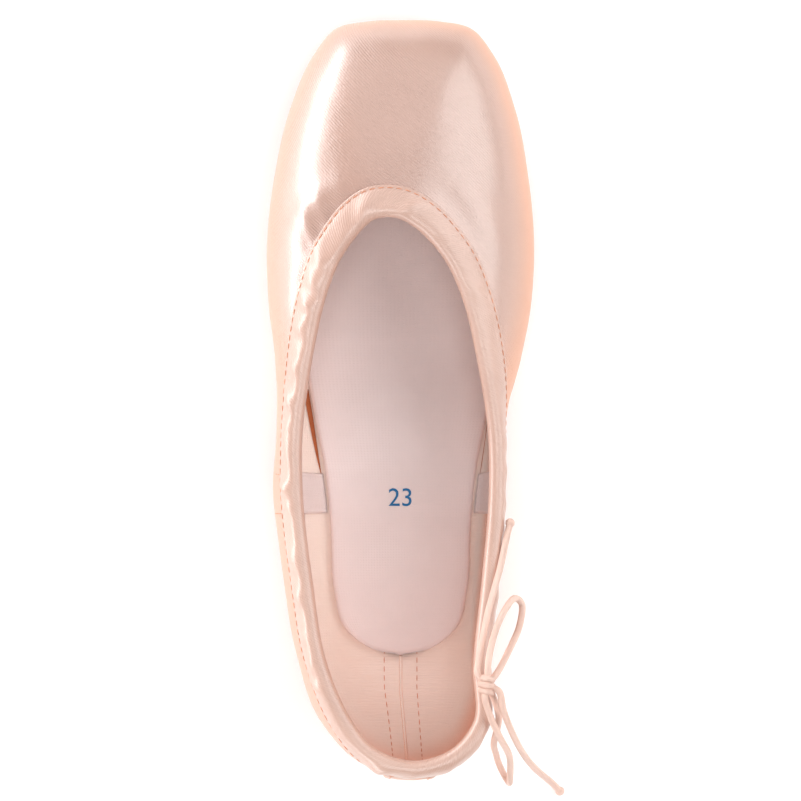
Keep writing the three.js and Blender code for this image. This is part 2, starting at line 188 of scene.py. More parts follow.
def unit(vectors: Array) -> Array:
    """The vectors with a length of 1."""
    return vectors / np.linalg.norm(vectors, axis=-1, keepdims=True)


def sole_top(y: Array | float) -> Array:
    """Height of the outsole's top face: flat heel, arch, flat tread and toe spring."""
    arch = ARCH_RISE * smooth_step(SEAT_END, ARCH_TOP, y) * (1.0 - smooth_step(ARCH_TOP, TREAD_START, y))
    bent = np.clip((np.asarray(y, float) - TREAD_END) / (SOLE_FRONT - TREAD_END), 0.0, 1.0)
    return SOLE_THICKNESS + arch + TOE_SPRING * bent**2


def linked(name: str, data: bpy.types.ID) -> bpy.types.Object:
    """A new object for some data, linked to the scene."""
    obj = bpy.data.objects.new(name, data)
    bpy.context.scene.collection.objects.link(obj)
    return obj


def plain_mesh(obj: bpy.types.Object) -> bpy.types.Mesh:
    """The object's shape as a new mesh, with its curve, text or modifiers worked out."""
    bpy.context.view_layer.update()
    return bpy.data.meshes.new_from_object(obj.evaluated_get(bpy.context.evaluated_depsgraph_get()))


def finish_piece(obj: bpy.types.Object, nodes: Iterable[str] = ()) -> None:
    """Rides a piece on the shoe.

    Args:
        obj: the finished piece.
        nodes: the CAD nodes that the piece stands for, which are hidden.
    """
    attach(obj, BODY)
    if nodes:
        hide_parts(*nodes)
    LOG.info("%s: %d faces", obj.name, len(obj.data.polygons) if obj.type == "MESH" else 0)


class Spline:
    """A smooth curve through rows of numbers, with knots spaced as the rows are."""

    def __init__(self, rows: Array, gaps: Array, closed: bool) -> None:
        """Works out the slope at every row.

        Args:
            rows: one row of numbers per knot.
            gaps: distance from each row to the next; a closed curve has one more, back to the start.
            closed: whether the curve returns to its first row.
        """
        self.rows, self.gaps, self.closed = rows, gaps, closed
        rates = (np.roll(rows, -1, 0)[: len(gaps)] - rows[: len(gaps)]) / gaps[:, None]
        if closed:
            before, gap_before = np.roll(rates, 1, 0), np.roll(gaps, 1)
            weighted = before * gaps[:, None] + rates * gap_before[:, None]
            self.slopes = weighted / (gaps + gap_before)[:, None]
        else:
            weighted = rates[:-1] * gaps[1:, None] + rates[1:] * gaps[:-1, None]
            inner = weighted / (gaps[:-1] + gaps[1:])[:, None]
            self.slopes = np.vstack([rates[:1], inner, rates[-1:]])

    @classmethod
    def through(cls, points: Array, power: float = 1.0) -> Spline:
        """An open curve through points, its knots spaced by their distance raised to a power."""
        return cls(points, steps(points) ** power, closed=False)

    def at(self, position: Array) -> Array:
        """Reads the curve.

        Args:
            position: places along the curve, counted in rows.

        Returns:
            A row of numbers for each place.
        """
        position = np.asarray(position, float)
        count = len(self.rows)
        if self.closed:
            position = np.mod(position, count)
        i = np.clip(np.floor(position).astype(int), 0, len(self.gaps) - 1)
        t = (position - i)[..., None]
        j = (i + 1) % count
        span = self.gaps[i][..., None]
        p0, p1, m0, m1 = self.rows[i], self.rows[j], self.slopes[i] * span, self.slopes[j] * span
        a = 2 * p0 + m0 - 2 * p1 + m1
        b = -3 * p0 - 2 * m0 + 3 * p1 - m1
        return ((a * t + b) * t + m0) * t + p0

    def spread(self, count: int) -> Array:
        """Reads the curve at a number of places, evenly from its first row to its last."""
        return self.at(np.linspace(0, len(self.rows) - 1, count))


class FoldView(Enum):
    """From where a fold's path is drawn: its two axes, and the side of the shoe it is on."""

    ABOVE = (0, 1, 0)
    LEFT = (1, 2, -1)
    RIGHT = (1, 2, 1)


@dataclass(frozen=True)
class Fold:
    """A soft trough or ridge in the satin.

    path is in millimetres: (x, from heel) from above, (from heel, height) from a side. depth is out from
    the wall, negative for a trough, and width is the fold's half breadth.
    """

    view: FoldView
    path: tuple[Pair, ...]
    depth: float
    width: float


class Last:
    """The upper's outer surface as a function of rib, stage and distance from the wall.

    Stage 0 to 1 is the margin under the insole, 1 to 2 the bilge and 2 to 3 the crown up to the collar.
    """

    STEP = 0.004
    COLLAR_STEP = 0.01
    BOX_RIBS, BOX_STAGES = 721, 81
    WALK_STAGES = 161
    HALVINGS = 30
    FOLD_FLOOR = 14.0
    FOLD_POINTS = 12
    FOLD_ENDS, FOLD_TAPER = (0.04, 0.96), 0.7

    def __init__(self) -> None:
        """Joins the ribs and finds the shift from the heel to the row frame."""
        right = [rib.placed(1) for rib in RIBS.values()]
        left = [rib.placed(-1) for rib in list(RIBS.values())[1:-1]][::-1]
        rows = np.array(right + left, float)
        change = rows - np.roll(rows, -1, 0)
        gaps = np.hypot(change[:, 2], change[:, 3]) + np.hypot(change[:, 5], change[:, 6])
        self.spline = Spline(rows, gaps, closed=True)
        ribs, stages = np.linspace(0, RIB_COUNT, self.BOX_RIBS), np.linspace(1, COLLAR, self.BOX_STAGES)
        own = self.face(*np.meshgrid(ribs, stages)).reshape(-1, 3)
        low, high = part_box("upper")
        centre = (own.min(0) + own.max(0))[:2] / 2 * MM
        self.shift = np.array([(low.x + high.x) / 2 - centre[0], (low.y + high.y) / 2 - centre[1], 0.0])

    def face(self, rib: Array, stage: Array) -> Array:
        """Points of the outer face, in millimetres from the heel.

        Args:
            rib: position round the shoe, counted in ribs from the back of the heel.
            stage: position up the wall, from 0 to 3.

        Returns:
            Points with one more axis than the inputs.
        """
        rib, stage = np.broadcast_arrays(np.asarray(rib, float), np.asarray(stage, float))
        numbers = np.moveaxis(self.spline.at(rib), -1, 0)
        floor_x, floor_y, side_x, side_y = numbers[:4]
        side, collar = np.stack(numbers[2:5], -1), np.stack(numbers[5:8], -1)
        rise, shoulder, bilge_pull, crown_pull = numbers[8:]
        floor = np.stack([floor_x, floor_y, sole_top(floor_y) + GAP], -1)
        share = UNDER_OPENING + (1 - UNDER_OPENING) * np.clip(stage, 0, 1)
        centre_y = np.clip(floor_y, OPENING_BACK, OPENING_FRONT)
        margin_y = centre_y + (floor_y - centre_y) * share
        margin = np.stack([floor_x * share, margin_y, sole_top(margin_y) + GAP], -1)
        low_corner = np.stack([side_x, side_y, floor[..., 2] + rise], -1)
        high_corner = np.stack([side_x, side_y, shoulder], -1)
        bilge = self._rounded(floor, low_corner, side, bilge_pull, stage - 1)
        crown = self._rounded(side, high_corner, collar, crown_pull, stage - WIDEST)
        stage = stage[..., None]
        return np.where(stage <= 1, margin, np.where(stage <= WIDEST, bilge, crown))

    @staticmethod
    def _rounded(start: Array, corner: Array, end: Array, pull: Array, share: Array) -> Array:
        """A rounded corner.

        Args:
            start: where it leaves.
            corner: the corner's tip.
            end: where it arrives.
            pull: how far it reaches into the corner.
            share: how much of it is done, from 0 to 1.

        Returns:
            A point for each share.
        """
        pull, t = pull[..., None], np.clip(share, 0, 1)[..., None]
        s = 1 - t
        first, second = start + (corner - start) * pull, end + (corner - end) * pull
        return start * s**3 + first * (3 * s * s * t) + second * (3 * s * t * t) + end * t**3

    def normal(self, rib: Array, stage: Array) -> Array:
        """Unit directions out from the wall.

        Args:
            rib: position round the shoe.
            stage: position up the wall.

        Returns:
            Directions with one more axis than the inputs.
        """
        rib, stage = np.broadcast_arrays(np.asarray(rib, float), np.asarray(stage, float))
        low, high = np.clip(stage - self.STEP, 0, COLLAR), np.clip(stage + self.STEP, 0, COLLAR)
        along = self.face(rib + self.STEP, stage) - self.face(rib - self.STEP, stage)
        return unit(np.cross(along, self.face(rib, high) - self.face(rib, low)))

    def point(self, rib: Array, stage: Array, out: Array | float) -> Array:
        """Points at a distance out from the wall in millimetres, placed in the row frame in metres."""
        out = np.asarray(out, float)
        return self.place(self.face(rib, stage) + self.normal(rib, stage) * out[..., None])

    def place(self, points: Array) -> Array:
        """Moves points in millimetres from the heel into the row frame in metres."""
        return np.asarray(points, float) * MM + self.shift

    def stage_below(self, rib: Array, drop: Array | float) -> Array:
        """Stages that lie some way down the wall from the collar's edge.

        Args:
            rib: position round the shoe.
            drop: how far down, in millimetres along the wall.

        Returns:
            A stage for each rib.
        """
        rib = np.asarray(rib, float)
        drop = np.broadcast_to(np.asarray(drop, float), rib.shape)
        stages = np.linspace(COLLAR, 1, self.WALK_STAGES)
        walked = np.cumsum(steps(self.face(rib[..., None], stages), -2), -1)
        walked = np.concatenate([np.zeros(rib.shape + (1,)), walked], -1).reshape(-1, len(stages))
        found = [np.interp(d, w, stages) for d, w in zip(drop.ravel(), walked)]
        return np.array(found).reshape(rib.shape)

    def stage_at(self, rib: float, drop: float) -> float:
        """The stage some millimetres down from the collar at one rib."""
        return float(self.stage_below(np.array(float(rib)), drop))

    def beside_collar(self, rib: Array, drop: float, out: Array | float) -> Array:
        """Points beside the collar's edge; above the edge the wall goes straight on.

        Args:
            rib: position round the shoe.
            drop: how far down the wall in millimetres, negative above the edge.
            out: how far out from the wall in millimetres.

        Returns:
            Points in the row frame.
        """
        rib, drop, out = np.broadcast_arrays(rib, drop, out)
        up = unit(self.face(rib, COLLAR) - self.face(rib, COLLAR - self.COLLAR_STEP))
        stage = self.stage_below(rib, np.maximum(drop, 0))
        return self.point(rib, stage, out) + up * np.maximum(-drop, 0)[..., None] * MM

    def rib_at_width(self, stage: Array, half_width: float) -> Array:
        """Ribs beside the heel's middle, at one distance from it.

        Args:
            stage: position up the wall.
            half_width: the distance in millimetres.

        Returns:
            A rib on the right for each stage.
        """
        stage = np.asarray(stage, float)
        middle = self.face(np.zeros_like(stage), stage)[..., 0]
        low, high = np.zeros_like(stage), np.full_like(stage, 2.0)
        for _ in range(self.HALVINGS):
            mid = (low + high) / 2
            near = self.face(mid, stage)[..., 0] - middle < half_width
            low, high = np.where(near, mid, low), np.where(near, high, mid)
        return low

    def ribs_per_mm(self, rib: float) -> float:
        """How many ribs one millimetre of the widest line takes up."""
        return 1 / np.linalg.norm(self.face(rib + 0.5, WIDEST) - self.face(rib - 0.5, WIDEST))

    def fold_depth(self, points: Array, folds: Sequence[Fold]) -> Array:
        """How far out the folds push each point of the outer face.

        Args:
            points: points in millimetres from the heel.
            folds: the troughs and ridges.

        Returns:
            Millimetres out for every point.
        """
        total = np.zeros(points.shape[:-1])
        for fold in folds:
            first, second, side = fold.view.value
            corners = np.array(fold.path, float)
            t = np.linspace(0, 1, self.FOLD_POINTS * len(corners))
            path = Spline.through(corners).at(t * (len(corners) - 1))
            away = np.linalg.norm(points[..., None, (first, second)] - path, axis=-1)
            taper = np.sin(np.pi * np.clip(t[away.argmin(-1)], *self.FOLD_ENDS)) ** self.FOLD_TAPER
            height = fold.depth * taper * bell(away.min(-1), fold.width)
            on_side = points[..., 2] > self.FOLD_FLOOR if side == 0 else points[..., 0] * side > 0
            total += np.where(on_side, height, 0.0)
        return total


@dataclass
class Sheet:
    """A grid of points turned into a mesh. Rows run along the piece and columns across it.

    A lengthwise sheet is cut with its grain along the shoe; the weave of others follows rows and columns.
    """

    name: str
    points: Array
    closed_rows: bool = False
    closed_columns: bool = False
    capped: bool = False
    column_slots: Array | None = None
    lengthwise: bool = False

    GRAIN_HEIGHT: ClassVar[float] = 0.05
    GRAIN_WIDTH: ClassVar[float] = 0.03
    BOUNCE_STEEPNESS: ClassVar[Pair] = (0.2, 0.75)
    BOUNCE_TURN: ClassVar[Pair] = (-0.03, 0.03)
    BOUNCE_LEFT: ClassVar[float] = 0.5
    BOUNCE_RIGHT: ClassVar[float] = 0.9

    def build(self, *materials: Material) -> bpy.types.Object:
        """Makes the object, with a UV map in metres for its weave.

        Args:
            materials: one for each slot named by column_slots.

        Returns:
            The new object, linked to the scene.
        """
        rows, columns, _ = self.points.shape
        row_steps = rows if self.closed_rows else rows - 1
        column_steps = columns if self.closed_columns else columns - 1
        grid = np.meshgrid(np.arange(row_steps), np.arange(column_steps), indexing="ij")
        i, j = (part.ravel() for part in grid)
        here, ahead, beside = i * columns, (i + 1) % rows * columns, (j + 1) % columns
        faces = np.stack([here + j, ahead + j, ahead + beside, here + beside], -1).tolist()
        slots = np.zeros(len(faces), int) if self.column_slots is None else self.column_slots[j]
        if self.capped:
            last = (rows - 1) * columns
            for k in range(columns // 2 - 1):
                faces.append([k, k + 1, columns - 2 - k, columns - 1 - k])
                faces.append([last + k, last + columns - 1 - k, last + columns - 2 - k, last + k + 1])
            slots = np.concatenate([slots, np.zeros(len(faces) - len(slots), int)])
        mesh = bpy.data.meshes.new(self.name)
        mesh.from_pydata(self.points.reshape(-1, 3).tolist(), [], faces)
        for material in materials:
            mesh.materials.append(material)
        mesh.polygons.foreach_set("material_index", slots.astype(np.int32))
        uv = self._lengthwise_uvs(mesh) if self.lengthwise else self._grid_uvs(mesh, i, j)
        mesh.uv_layers.new(name="weave").data.foreach_set("uv", uv.astype(np.float32).ravel())
        mesh.polygons.foreach_set("use_smooth", np.ones(len(faces), bool))
        mesh.validate()
        mesh.update()
        # Stores the mask for the painted bounce light
        self._paint_bounce_mask(mesh)
        return linked(self.name, mesh)

    def _lengthwise_uvs(self, mesh: bpy.types.Mesh) -> Array:
        """UVs for cloth whose grain runs along the shoe and that wraps down both sides.

        Args:
            mesh: the sheet's mesh.

        Returns:
            A UV for each corner of each face.
        """
        corners = np.zeros(len(mesh.loops), np.int32)
        mesh.loops.foreach_get("vertex_index", corners)
        x, y, z = self.points.reshape(-1, 3)[corners].T
        return np.stack([y, x + (self.GRAIN_HEIGHT - z) * np.tanh(x / self.GRAIN_WIDTH)], -1)

    def _grid_uvs(self, mesh: bpy.types.Mesh, i: Array, j: Array) -> Array:
        """UVs that measure the sheet along and across, with no jump where it closes.

        Args:
            mesh: the sheet's mesh.
            i: the row of each face of the grid.
            j: its column.

        Returns:
            A UV for each corner of each face.
        """
        ring = np.concatenate([self.points, self.points[:1]], 0)
        loop = np.concatenate([self.points, self.points[:, :1]], 1)
        along, across = running(steps(ring).mean(1)), running(steps(loop, 1).mean(0))
        corners_u = np.stack([along[i], along[i + 1], along[i + 1], along[i]], -1)
        corners_v = np.stack([across[j], across[j], across[j + 1], across[j + 1]], -1)
        uv = np.zeros((len(mesh.loops), 2))
        uv[: corners_u.size] = np.stack([corners_u.ravel(), corners_v.ravel()], -1)
        return uv

    def _paint_bounce_mask(self, mesh: bpy.types.Mesh) -> None:
        """Stores on every point a mask for painted bounce light: how steep the cloth is, more so on the
        shoe's right than on its left.

        Args:
            mesh: the sheet's mesh, which gets the attribute.
        """
        normals, places = np.zeros((2, 3 * len(mesh.vertices)), np.float32)
        mesh.vertex_normals.foreach_get("vector", normals)
        mesh.vertices.foreach_get("co", places)
        steep = smooth_step(*self.BOUNCE_STEEPNESS, 1 - np.abs(normals[2::3]))
        rightness = smooth_step(*self.BOUNCE_TURN, places[0::3])
        painted_bounce = steep * (self.BOUNCE_LEFT + (self.BOUNCE_RIGHT - self.BOUNCE_LEFT) * rightness)
        mesh.attributes.new(BOUNCE_ATTRIBUTE, "FLOAT", "POINT").data.foreach_set("value", painted_bounce.astype(np.float32))


class NodeTree:
    """A short way to write a node tree."""

    def __init__(self, tree: bpy.types.NodeTree) -> None:
        """Takes the tree that is to be written."""
        self.tree = tree

    def add(self, kind: str, output: str | int, inputs: Inputs, **settings: object) -> Socket:
        """Adds a node.

        Args:
            kind: the node's type name.
            output: which of its outputs is wanted.
            inputs: values or sockets for its inputs.
            settings: its properties.

        Returns:
            The output's socket.
        """
        node = self.tree.nodes.new(kind)
        for key, value in settings.items():
            setattr(node, key, value)
        for key, value in inputs.items():
            self.feed(node.inputs[key], value)
        return node.outputs[output]

    def feed(self, socket: Socket, value: object) -> None:
        """Links an input to an output socket, or sets its value.

        Args:
            socket: the input.
            value: an output socket, or a value.
        """
        if isinstance(value, Socket):
            self.tree.links.new(value, socket)
        else:
            socket.default_value = value


class Graph(NodeTree):
    """A material's node tree, round one Principled shader."""

    def __init__(self, name: str) -> None:
        """Starts the material."""
        self.material = bpy.data.materials.new(name)
        self.material.use_nodes = True
        super().__init__(self.material.node_tree)
        self.shader = self.tree.nodes["Principled BSDF"]

    def shade(self, inputs: Inputs) -> None:
        """Feeds the shader's inputs."""
        for name, value in inputs.items():
            self.feed(self.shader.inputs[name], value)

    def ramp(self, source: Socket, ends: dict[float, Triple]) -> Socket:
        """A colour ramp over a value.

        Args:
            source: the value's socket.
            ends: the colours at the ramp's two ends, by place.

        Returns:
            The colour's socket.
        """
        ramp = self.add("ShaderNodeValToRGB", "Color", {"Fac": source})
        for element, (place, colour) in zip(ramp.node.color_ramp.elements, ends.items()):
            element.position, element.color = place, (*colour, 1.0)
        return ramp

    def bump(self, height: Socket, distance: float) -> None:
        """Raises the surface by a pattern, as far as a distance in metres."""
        relief = {"Height": height, "Strength": 1.0, "Distance": distance}
        self.shade({"Normal": self.add("ShaderNodeBump", "Normal", relief)})


@dataclass(frozen=True)
class Finish:
    """A smooth finish, as thread and ink have, and the base of the others.

    shade and light are the two ends of its slow colour drift, and the third colour is painted bounce light,
    deeper and warmer on steep walls.
    """

    name: str
    shade: Triple
    light: Triple
    roughness: float
    sheen: float = 0.0
    specular: float = 0.5
    ior: float = 1.45
    painted_bounce: Triple | None = None
    coat: float = 0.0
    coat_roughness: float = 0.2
    drift_scale: float = 40.0

    SHEEN_ROUGHNESS: ClassVar[float] = 0.4
    SHEEN_TINT: ClassVar[Triple] = (1.0, 0.9, 0.85)
    DRIFT_ENDS: ClassVar[Pair] = (0.35, 0.65)
    BOUNCE_GLOSS: ClassVar[float] = 0.35

    def material(self) -> Material:
        """Mixes the finish.

        Returns:
            A new material.
        """
        graph = Graph(self.name)
        place = graph.add("ShaderNodeTexCoord", "Object", {})
        drift = {"Vector": place, "Scale": self.drift_scale, "Detail": 3.0}
        colours = dict(zip(self.DRIFT_ENDS, (self.shade, self.light)))
        colour = graph.ramp(graph.add("ShaderNodeTexNoise", "Fac", drift), colours)
        gloss = {"Specular IOR Level": self.specular, "Coat Weight": self.coat}
        graph.shade(gloss | {
            "Roughness": self.roughness,
            "Sheen Weight": self.sheen,
            "Sheen Roughness": self.SHEEN_ROUGHNESS,
            "Sheen Tint": (*self.SHEEN_TINT, 1.0),
            "IOR": self.ior,
            "Coat Roughness": self.coat_roughness,
            "Coat IOR": self.ior,
        })
        # Painted bounce light: steep walls, more on the right, get a deeper warm colour and less gloss
        if self.painted_bounce:
            steep = graph.add("ShaderNodeAttribute", "Fac", {}, attribute_name=BOUNCE_ATTRIBUTE)
            mixed = {"Factor": steep, 6: colour, 7: (*self.painted_bounce, 1.0)}
            colour = graph.add("ShaderNodeMix", 2, mixed, data_type="RGBA")
            for name, value in gloss.items():
                ends = {"Value": steep, "To Min": value, "To Max": value * self.BOUNCE_GLOSS}
                graph.shade({name: graph.add("ShaderNodeMapRange", "Result", ends)})
        graph.shade({"Base Color": colour})
        self.grain(graph, place)
        return graph.material

    def grain(self, graph: Graph, place: Socket) -> None:
        """Leaves the surface smooth."""


class Weave(Enum):
    """How a cloth's threads lie, with their slant in degrees."""

    PLAIN = 0.0
    TWILL = 35.0
    BACK_TWILL = -35.0


@dataclass(frozen=True)
class Cloth(Finish):
    """Woven cloth.

    thread is the distance between threads and relief how far they stand up, in metres. slubs is how uneven
    a twill's threads are, as a share of their height.
    """

    weave: Weave = Weave.PLAIN
    thread: float = 0.0008
    relief: float = 0.00008
    slubs: float = 2.0

    WAVES_PER_METRE: ClassVar[float] = 0.314159
    SLUB_SCALE: ClassVar[Triple] = (1300.0, 700.0, 1.0)

    def grain(self, graph: Graph, place: Socket) -> None:
        """Raises the threads on the piece's UV map.

        Args:
            graph: the material's graph.
            place: its Object coordinates, which a weave doesn't follow.
        """
        uv = graph.add("ShaderNodeTexCoord", "UV", {})
        turn = (0.0, 0.0, math.radians(self.weave.value))
        turned = graph.add("ShaderNodeMapping", "Vector", {"Vector": uv, "Rotation": turn})
        scale = self.WAVES_PER_METRE / self.thread
        waves = {"Vector": turned, "Scale": scale, "Distortion": 0.4, "Detail": 1.0}
        bump = graph.add("ShaderNodeTexWave", "Fac", waves)
        if self.weave is Weave.PLAIN:
            other = graph.add("ShaderNodeTexWave", "Fac", waves, bands_direction="Y")
            bump = graph.add("ShaderNodeMath", 0, {0: bump, 1: other}, operation="MULTIPLY")
        else:
            drawn = graph.add("ShaderNodeMapping", "Vector", {"Vector": turned, "Scale": self.SLUB_SCALE})
            noise = graph.add("ShaderNodeTexNoise", "Fac", {"Vector": drawn, "Scale": 1.0, "Detail": 2.0})
            uneven = {0: noise, 1: self.slubs, 2: bump}
            bump = graph.add("ShaderNodeMath", 0, uneven, operation="MULTIPLY_ADD")
        graph.bump(bump, self.relief)


@dataclass(frozen=True)
class Suede(Finish):
    """Napped leather, mottled and soft."""

    nap_scale: float = 900.0
    relief: float = 0.00025

    def grain(self, graph: Graph, place: Socket) -> None:
        """Raises the nap."""
        nap = {"Vector": place, "Scale": self.nap_scale, "Detail": 4.0}
        graph.bump(graph.add("ShaderNodeTexNoise", "Fac", nap), self.relief)


# The satin's third colour is painted bounce light on its steep walls
SATIN = Cloth(
    "satin", (0.475, 0.245, 0.175), (0.515, 0.272, 0.198), 0.46, ior=2.2, painted_bounce=(0.80, 0.38, 0.222),
    coat=0.9, coat_roughness=0.31, weave=Weave.BACK_TWILL, relief=0.00009, slubs=2.4,
)
CASING = Cloth(
    "casing_satin", (0.575, 0.345, 0.268), (0.625, 0.39, 0.308), 0.45, ior=1.8, coat=0.65,
    coat_roughness=0.32, weave=Weave.TWILL, thread=0.0007, relief=0.00006,
)
CORD = Cloth(
    "cord", (0.88, 0.61, 0.51), (0.93, 0.68, 0.58), 0.5, specular=0.4, weave=Weave.TWILL, thread=0.0009,
    relief=0.00003,
)
# The lining's third colour is painted bounce light on its steep walls
LINING = Cloth(
    "lining", (0.96, 0.81, 0.73), (0.97, 0.84, 0.77), 0.85, sheen=0.1, specular=0.2, painted_bounce=(0.90, 0.50, 0.37),
)
INSOLE = Cloth(
    "insole_cotton", (0.84, 0.73, 0.72), (0.88, 0.77, 0.76), 0.9, sheen=0.1, specular=0.15, relief=0.00005,
)
TAPE = Cloth("tape_cotton", (0.80, 0.68, 0.66), (0.85, 0.735, 0.715), 0.9, sheen=0.1, specular=0.15)
SUEDE = Suede(
    "suede", (0.47, 0.275, 0.185), (0.62, 0.40, 0.29), 0.95, sheen=0.25, specular=0.15, drift_scale=700.0,
)
THREAD = Finish("thread", (0.66, 0.27, 0.15), (0.74, 0.33, 0.20), 0.6, specular=0.3)
# Dark orange of the painted shadow in the gap beside each wing
WING_GAP_SHADOW = Finish("wing_gap_shadow", (0.46, 0.14, 0.06), (0.54, 0.18, 0.08), 0.9, specular=0.1)
INK = Finish("ink", (0.03, 0.16, 0.36), (0.05, 0.20, 0.42), 0.8, specular=0.1)


@dataclass
class Upper:
    """The satin upper with its lining, in one closed wall."""

    last: Last
    rib_steps: int = 480
    margin_stages: int = 4
    bilge_stages: int = 26
    crown_stages: int = 34
    flat_from: float = 2.86
    lining_share: float = 0.25
    folds: tuple[Fold, ...] = (
        Fold(FoldView.ABOVE, ((-29.5, 156), (-23, 166.5), (-14.5, 174)), -0.85, 3.6),
        Fold(FoldView.ABOVE, ((-33, 164), (-26, 174), (-15, 180)), 0.6, 3.6),
        Fold(FoldView.ABOVE, ((-31, 136), (-30, 148), (-27, 157)), -0.6, 2.4),
        Fold(FoldView.ABOVE, ((-25.5, 158.5), (-27.5, 165), (-29.5, 174)), 0.3, 1.3),
        Fold(FoldView.ABOVE, ((-22, 163.5), (-23.5, 171), (-25, 181)), 0.3, 1.4),
        Fold(FoldView.ABOVE, ((-17.5, 168.5), (-18, 176), (-19, 186)), 0.22, 1.4),
        Fold(FoldView.ABOVE, ((24, 156), (18, 169), (10, 178)), -0.6, 3.6),
        Fold(FoldView.ABOVE, ((29, 160), (24, 172), (16, 182)), 0.4, 4.0),
        Fold(FoldView.LEFT, ((70, 7), (92, 12), (118, 22)), -0.9, 3.0),
        Fold(FoldView.LEFT, ((84, 6), (108, 9), (136, 16)), -0.8, 3.0),
        Fold(FoldView.LEFT, ((60, 10), (78, 18), (100, 27)), 0.6, 3.4),
        Fold(FoldView.RIGHT, ((72, 8), (94, 14), (120, 24)), -0.9, 3.0),
        Fold(FoldView.RIGHT, ((88, 6), (112, 9), (140, 15)), -0.7, 3.0),
        Fold(FoldView.RIGHT, ((40, 12), (52, 20), (60, 28)), -0.8, 3.0),
    )

    def stages(self) -> Array:
        """The stages at which the wall is sampled, from the margin to the collar."""
        margin = np.linspace(0, 1, self.margin_stages, endpoint=False)
        bilge = np.linspace(1, WIDEST, self.bilge_stages, endpoint=False)
        return np.concatenate([margin, bilge, np.linspace(WIDEST, COLLAR, self.crown_stages)])

    def build(self) -> None:
        """Makes the wall: outer face up to the collar, inner face back down."""
        last, stages = self.last, self.stages()
        ribs = np.linspace(0, RIB_COUNT, self.rib_steps, endpoint=False)
        grid = np.meshgrid(ribs, stages, indexing="ij")
        depth = last.fold_depth(last.face(*grid), self.folds)
        depth *= 1 - smooth_step(self.flat_from, COLLAR, grid[1])
        outer = last.point(*grid, depth)
        inner = last.point(*grid, depth * self.lining_share - WALL)
        points = np.concatenate([outer, inner[:, ::-1]], 1)
        slots = np.zeros(points.shape[1], int)
        slots[len(stages) - 1:] = 1
        sheet = Sheet(
            "upper_satin", points, closed_rows=True, closed_columns=True, column_slots=slots, lengthwise=True,
        )
        finish_piece(sheet.build(SATIN.material(), LINING.material()), ["upper"])


@dataclass
class Casing:
    """The gathered satin casing that runs round the collar and holds the drawstring.

    section is (down from the collar, out from the wall). Gathers and tucks raise its outer face most at a
    drop of their own, and the collar's left is bunched more than its right.
    """

    last: Last
    rib_steps: int = 900
    seed: int = 7
    puckers: int = 48
    pucker_depth: float = 1.2
    pucker_sink: float = 0.3
    pucker_heights: Pair = (0.1, 1.2)
    pucker_widths: Pair = (0.2, 0.4)
    pucker_drop: float = 2.2
    pucker_reach: float = 2.6
    right_share: float = 0.5
    bunched: Pair = (-8.0, 12.0)
    slant: float = 0.0016
    tucks: tuple[float, ...] = (6.3, 18.4, 35.7, 54.7, 88.0, 106.0, 124.0, 137.8)
    tuck_height: float = 0.75
    tuck_length: float = 2.8
    tuck_drop: float = 1.4
    tuck_reach: float = 2.2
    outer_face: float = 0.4
    section: tuple[Pair, ...] = (
        (7.6, 0.3), (7.6, 0.8), (7.2, 1.0), (6.6, 0.85), (5.8, 1.15), (4.2, 1.45), (2.4, 1.65), (0.8, 1.7),
        (-0.6, 1.5), (-1.7, 0.6), (-2.2, -0.9), (-1.7, -2.4), (-0.6, -3.3), (0.8, -3.5), (2.4, -3.45),
        (4.0, -3.1), (5.6, -2.7), (5.6, -2.1), (2.8, -2.1), (-0.3, -2.1), (-0.3, 0.3), (2.5, 0.3), (5.1, 0.3),
    )

    def gathers(self, along: Array) -> Array:
        """Height of the gathers at places along the collar.

        Args:
            along: places along the collar, from 0 to 1.

        Returns:
            Millimetres out at each place.
        """
        draw = np.random.default_rng(self.seed)
        places = (np.arange(self.puckers) + draw.uniform(-0.5, 0.5, self.puckers)) / self.puckers
        heights = draw.uniform(*self.pucker_heights, self.puckers) * self.pucker_depth
        widths = draw.uniform(*self.pucker_widths, self.puckers) / self.puckers
        apart = np.abs((along[:, None] - places + 0.5) % 1.0 - 0.5)
        return (heights * bell(apart, widths)).sum(1) - self.pucker_depth * self.pucker_sink

    def tucked(self, edge: Array) -> Array:
        """Height of the short tucks down the left side, where the drawstring bunches the casing most.

        Args:
            edge: points along the collar, in millimetres from the heel.

        Returns:
            Millimetres out at each point.
        """
        left = edge[edge[:, 0] < 0]
        places = [left[np.abs(left[:, 1] - tuck).argmin()] for tuck in self.tucks]
        away = np.linalg.norm(edge[:, None] - np.array(places), axis=-1)
        return self.tuck_height * bell(away, self.tuck_length).sum(1)

    def build(self) -> None:
        """Makes the casing as a closed ring."""
        ribs = np.linspace(0, RIB_COUNT, self.rib_steps, endpoint=False)
        edge = self.last.face(ribs, COLLAR)
        lengths = steps(np.vstack([edge, edge[:1]]))
        along = running(lengths)[:-1] / lengths.sum()
        leftness = 1 - smooth_step(*self.bunched, edge[:, 0])
        bunching = self.right_share + (1 - self.right_share) * leftness
        tucks = self.tucked(edge)
        columns = []
        for drop, out in self.section:
            rise = 0.0
            if out > self.outer_face:
                gathers = bunching * self.gathers(along + self.slant * drop)
                rise = gathers * bell(drop - self.pucker_drop, self.pucker_reach)
                rise += tucks * bell(drop - self.tuck_drop, self.tuck_reach)
            columns.append(self.last.beside_collar(ribs, drop, out + rise))
        sheet = Sheet("casing_satin", np.stack(columns, 1), closed_rows=True, closed_columns=True)
        obj = sheet.build(CASING.material())
        modifier = obj.modifiers.new("round", "SUBSURF")
        modifier.levels = modifier.render_levels = 1
        finish_piece(obj, ["casing"])


